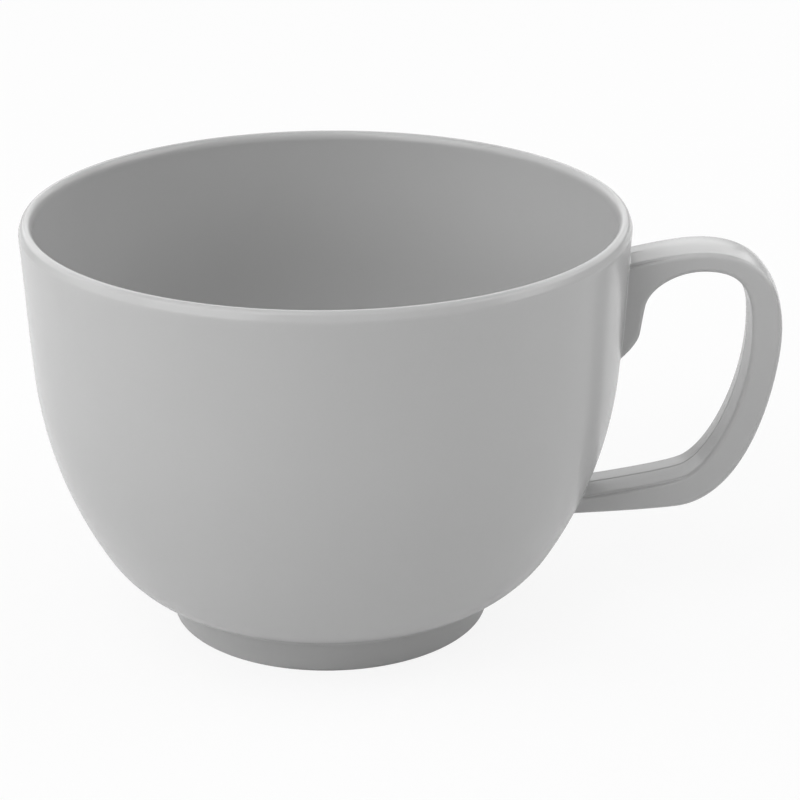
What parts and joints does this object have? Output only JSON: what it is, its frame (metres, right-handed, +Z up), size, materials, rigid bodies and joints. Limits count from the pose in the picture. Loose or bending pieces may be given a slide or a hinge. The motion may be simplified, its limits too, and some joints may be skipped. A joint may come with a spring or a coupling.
{
  "type": "soup mug",
  "caption": "Wide round moulded mug for soup, with a beaded rim, a short foot ring and a loop handle with a tongue under its upper root.",
  "frame": {"origin": "on the bowl's axis, at the plane of the foot's standing face", "axes": "+Z up along the bowl's axis, +X towards the handle, +Y completes a right-handed frame"},
  "size_m": [0.1562, 0.1246, 0.088],
  "materials": {
    "bowl_melamine": "satin gloss moulded melamine",
    "rim_melamine": "satin gloss moulded melamine, polished lip",
    "foot_melamine": "satin gloss moulded melamine, matt standing edge",
    "handle_melamine": "satin gloss moulded melamine"
  },
  "bodies": {
    "root": {"bowl": "bowl_melamine", "rim_bead": "rim_melamine", "foot_ring": "foot_melamine", "handle": "handle_melamine"}
  },
  "joints": []
}
